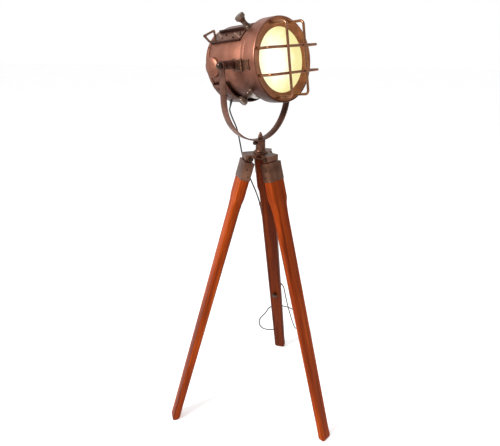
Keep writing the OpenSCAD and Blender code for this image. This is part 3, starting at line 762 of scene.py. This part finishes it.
def make_leg(name, matrix, shift, material):
    """A wooden leg; shift moves its grain, so that no two legs look alike."""
    rings = [[Vector((p.x, p.y, -s)) for p in ring_outline(w, t, c)] for s, w, t, c in leg_sections()]
    wood_part = joined(skinned(rings + foot_rings(matrix)), tongue_part())
    piece = mesh_piece(f"leg_{name}_wood", moved(wood_part, matrix), "leg_wood", BODIES[f"leg_{name}"],
                       (f"leg_{name}",), 28, material=MATERIALS[material])
    grain = piece.data.attributes.new("grain", "FLOAT_VECTOR", "POINT")
    inverse = matrix.inverted()
    for vertex, value in zip(piece.data.vertices, grain.data):
        p = inverse @ vertex.co
        value.vector = (p.x * MM + shift, p.y * MM + 0.7 * shift, p.z * MM + shift)


make_leg("right", LEGS["right"], 0.0, "leg_wood")
make_leg("left", LEGS["left"], 7.3, "leg_wood")
# The rear leg takes the darkened wood: painted shade for the leg standing in shadow behind the others
make_leg("rear", LEGS["rear"], 3.1, "leg_wood_dark")


# ---------------------------------------------------------------- lens door

def make_bezel():
    """The door's band, with the bevel inside it painted a warmer orange copper, standing in for the lamp's
    warm light falling on it.
    """
    bevel_r, bevel_y = 119.8, 89
    rear = [(121.5, 51.2), (122.8, 51.2), (124.6, 52.2), (125.0, 54.6), (124.3, 55.4), (124.3, 56.4),
            (125.0, 57.2)]
    front = [(125.0, 96.4), (124.8, 98.6), (124.0, 100.2), (122.6, 101.0), (120.6, 101.0), (119.2, 100.3)]
    bevel = [(104.0, 95.2), (98.5, 93.6), (96.6, 93.4), (95.0, 92.4), (95.0, 90.4), (98.4, 90.4),
             (118.4, 97.6), (121.5, 96.8)]
    part = turned(rounded(rear + front + bevel, 0.8, 3), 160)
    piece = mesh_piece("bezel_ring_spun", part, "copper_shell", "door", ("bezel_ring",), 40, HEAD)
    # The inner bevel gets the warmer copper: painted light from the lamp
    piece.data.materials.append(MATERIALS["bezel_inner"])
    for face in piece.data.polygons:
        centre = HEAD_INVERSE @ face.center
        if math.hypot(centre.x, centre.z) < bevel_r and centre.y > bevel_y:
            face.material_index = 1


def make_collar():
    """The band that the door closes on, with a stepped edge and a turned groove."""
    step = [(110.1, 38.1), (110.1, 36), (117.2, 36), (117.8, 36.5), (117.8, 37.8), (119.0, 38.2),
            (119.5, 38.9)]
    groove = [(119.5, 45.6), (118.9, 46.2), (117.0, 46.5), (117.0, 47.3), (118.4, 47.6), (118.6, 48.2)]
    face = [(117.6, 49.2), (104.0, 49.2), (104.0, 38.1)]
    part = turned(rounded(step + groove + face, 0.3, 2), 160)
    mesh_piece("drum_collar_turned", part, "copper_shell", "head", ("drum_collar",), 30, HEAD)


def make_lens():
    """A shallow domed lens with faint moulded rings on its face."""
    lens_r, seat_r, domed_r = 98, 95, 94
    back_y, rim_y, top_y, dome = 86.4, 90.2, 92.0, 1.75
    ring_depth, ring_pitch = 0.16, 1.05
    front = [(r, top_y - dome * (r / domed_r) ** 2 + ring_depth * math.cos(r * ring_pitch))
             for r in range(domed_r, 2, -2)]
    back = [(0, back_y), (60, back_y), (lens_r, back_y), (lens_r, rim_y), (seat_r, rim_y)]
    part = turned(back + front + [(0, 92.2)], 128)
    mesh_piece("lens_glass_domed", part, "glass", "door", ("lens_glass",), 60, HEAD)


def make_guard(node, front_y, turn, off):
    """A bent rod with eased bends and a small weld fillet round each foot."""
    span, corner, foot_y, straight, radius = 105, 12, 97.7, 8, 4.0
    path = [Vector((span, foot_y + rise, 0)) for rise in (0, 1.2, 3, straight)]
    rise = front_y - corner - foot_y - straight
    path += [Vector((span, foot_y + straight + rise * i / 6, 0)) for i in range(1, 7)]
    path += [Vector((span - corner + corner * math.cos(a), front_y - corner + corner * math.sin(a), 0))
             for a in (math.pi / 2 * i / 10 for i in range(1, 11))]
    path += [Vector(((span - corner) * (1 - i / 12), front_y, 0)) for i in range(1, 12)]
    path = path + [Vector((0, front_y, 0))] + [Vector((-p.x, p.y, 0)) for p in reversed(path)]
    radii = [radius] * len(path)
    for i, fillet in enumerate((1.9, 0.9, 0.25)):
        radii[i] += fillet
        radii[-1 - i] += fillet
    spin = Matrix.Rotation(math.radians(turn), 4, "Y") @ Matrix.Translation((0, 0, off))
    mesh_piece(f"{node}_rod", moved(tube(path, radii, 20), spin), "guard_rod", "door", (node,), 50, HEAD)


make_bezel()
make_collar()
make_lens()
GUARD_FRONT, GUARD_BACK, GUARD_OFF = 156, 148.2, 37
make_guard("guard_bar_top", GUARD_BACK, 0, GUARD_OFF)
make_guard("guard_bar_bottom", GUARD_BACK, 0, -GUARD_OFF)
make_guard("guard_bar_near", GUARD_FRONT, 90, GUARD_OFF)
make_guard("guard_bar_far", GUARD_FRONT, 90, -GUARD_OFF)


# ---------------------------------------------------------------- thumb screws and knobs

def knurl(low, high, teeth, depth):
    """A wave that cuts shallow teeth into the rim between two heights."""
    def wave(angle, y, radius):
        inside = low < y < high
        return 1 - depth / radius * (0.5 - 0.5 * math.cos(teeth * angle)) if inside else 1
    return wave


def make_clamp(key):
    """A door screw: shank, collar, waisted neck and a knurled disc for the thumb."""
    joint = joints[f"clamp_{key}_turn"]
    node = f"clamp_screw_{key}"
    along = Vector(joint["axis"])
    side = along.orthogonal().normalized()
    place = axes_frame(joint["pos_m"], side, along, side.cross(along))
    shank = [(0, -1.2), (4, -1.2), (4, 3.3)]
    collar = [(9.3, 3.3), (10, 4), (10, 6), (9.4, 6.8), (8.1, 7.8), (8.5, 8.8)]
    neck = [(8.0, 10), (7.3, 13), (7.2, 18)]
    flare = [(7.3 + 6.3 * ((y - 18) / 14) ** 2, y) for y in (21, 24, 26, 28, 30, 31.4)]
    disc = [(14.9, 32.8), (15.2, 33.8), (15.2, 36), (15.2, 38.4), (15.2, 41), (14.4, 42.8), (13.0, 43.5),
            (11.8, 42.9), (8, 42.5), (0, 42.5)]
    part = turned(shank + collar + neck + flare + disc, 144, knurl(34.5, 40.8, 36, 0.7))
    mesh_piece(f"{node}_turned", part, "thumb_screw", BODIES[node], (node,), 30, place)


def make_tilt_knob(key, side, start, seat):
    """A knob with a domed cap and its bolt, which starts inside the drum's boss."""
    node = f"tilt_knob_{key}"
    place = HEAD @ Matrix.Rotation(math.radians(-90 * side), 4, "Z")
    bolt_r = 4
    cap = [(7.6, 0), (8.6, 0.8), (10, 2), (10, 3.4), (10, 5), (10, 6.8), (9.6, 8.6), (8.7, 11), (7.0, 12.8),
           (4.8, 14), (2.4, 14.6), (0, 14.7)]
    profile = [(0, start), (bolt_r, start), (bolt_r, seat)] + [(r, seat + h) for r, h in cap]
    part = turned(profile, 144, knurl(seat + 2.5, seat + 6.4, 22, 0.7))
    mesh_piece(f"{node}_turned", part, "bronze_fitting", BODIES[node], (node,), 30, place,
               MATERIALS["dark_steel"])


for key in ("top", "bottom", "far"):
    make_clamp(key)
make_tilt_knob("near", 1, 122, 162.3)
make_tilt_knob("far", -1, 108, 135.3)


# ---------------------------------------------------------------- the rest of the CAD nodes

EDGE_WIDTH = 0.5
EDGE_WIDTHS = {"shell_screws": 0.15, "door_screws": 0.15, "vent_bolts": 0.3, "hub_casting": 1.2,
               "yoke_strap": 0.7, "vent_panel": 0.4, "side_covers": 0.8}
FINISHES = {"yoke_strap": "yoke_copper", "vent_rails": "tray_dark", "vent_panel": "tray_tan",
            "vent_gussets": "tray_rib", "tilt_spacers": "yoke_copper", "trunnion_bosses": "yoke_copper"}


def paint_lower_block(piece):
    """The cast block under the drum is a paler metal than the other lugs."""
    first_angle, last_angle, front_y = -76, -52, 41
    piece.data.materials.append(MATERIALS["lug_pale"])
    for face in piece.data.polygons:
        centre = HEAD_INVERSE @ face.center
        angle = math.degrees(math.atan2(centre.z, centre.x))
        if first_angle < angle < last_angle and centre.y < front_y:
            face.material_index = 1


def finish_the_rest():
    done = {n for piece in bpy.data.objects if "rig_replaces" in piece for n in piece["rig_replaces"]}
    for node in frame["nodes"]:
        if node in done:
            continue
        piece = soft_edged(node, EDGE_WIDTHS.get(node, EDGE_WIDTH), MATERIALS.get(FINISHES.get(node)))
        if node == "clamp_lugs":
            paint_lower_block(piece)


finish_the_rest()


# ---------------------------------------------------------------- floor and light

def make_stage():
    half = 12.0
    data = bpy.data.meshes.new("floor")
    corners = [(-half, -half, 0), (half, -half, 0), (half, half, 0), (-half, half, 0)]
    data.from_pydata(corners, [], [[0, 1, 2, 3]])
    floor = bpy.data.objects.new("floor", data)
    bpy.context.scene.collection.objects.link(floor)
    n = Nodes("pale_floor")
    tone = n.noise(n.object_place(), 3, 2)
    n.drive(Base_Color=n.ramp(tone, (0.3, (0.87, 0.87, 0.87)), (0.7, (0.90, 0.90, 0.90))))
    n.set(Roughness=0.9, Specular_IOR_Level=0.0, Emission_Color=(1, 1, 1, 1), Emission_Strength=0.32)
    data.materials.append(n.material)


def area_light(name, place, target, size, watts):
    data = bpy.data.lights.new(name, "AREA")
    data.size = size
    data.energy = watts
    lamp = bpy.data.objects.new(name, data)
    aim = (Vector(target) - Vector(place)).to_track_quat("-Z", "Y").to_matrix().to_4x4()
    lamp.matrix_world = Matrix.Translation(place) @ aim
    bpy.context.scene.collection.objects.link(lamp)


def make_world():
    """A white studio, brighter behind the lamp than in front of it."""
    brighter_towards = (-0.35, 0.94, 0)
    darkest, brightest = 0.5, 1.0
    world = bpy.data.worlds.new("studio")
    world.use_nodes = True
    tree = world.node_tree
    background = tree.nodes["Background"]
    background.inputs["Color"].default_value = (1, 1, 1, 1)
    place = tree.nodes.new("ShaderNodeTexCoord")
    depth = tree.nodes.new("ShaderNodeVectorMath")
    depth.operation = "DOT_PRODUCT"
    depth.inputs[1].default_value = brighter_towards
    strength = tree.nodes.new("ShaderNodeMapRange")
    strength.inputs["From Min"].default_value, strength.inputs["From Max"].default_value = -0.5, 0.5
    strength.inputs["To Min"].default_value, strength.inputs["To Max"].default_value = darkest, brightest
    tree.links.new(place.outputs["Generated"], depth.inputs[0])
    tree.links.new(depth.outputs["Value"], strength.inputs[0])
    tree.links.new(strength.outputs[0], background.inputs["Strength"])
    bpy.context.scene.world = world


make_stage()
make_world()
area_light("key", (-2.0, -1.5, 2.7), (0, 0, 1.0), 0.9, 110)
area_light("fill", (2.2, -1.6, 1.6), (0, 0, 0.8), 1.6, 8)
bpy.context.scene.view_settings.view_transform = "Standard"
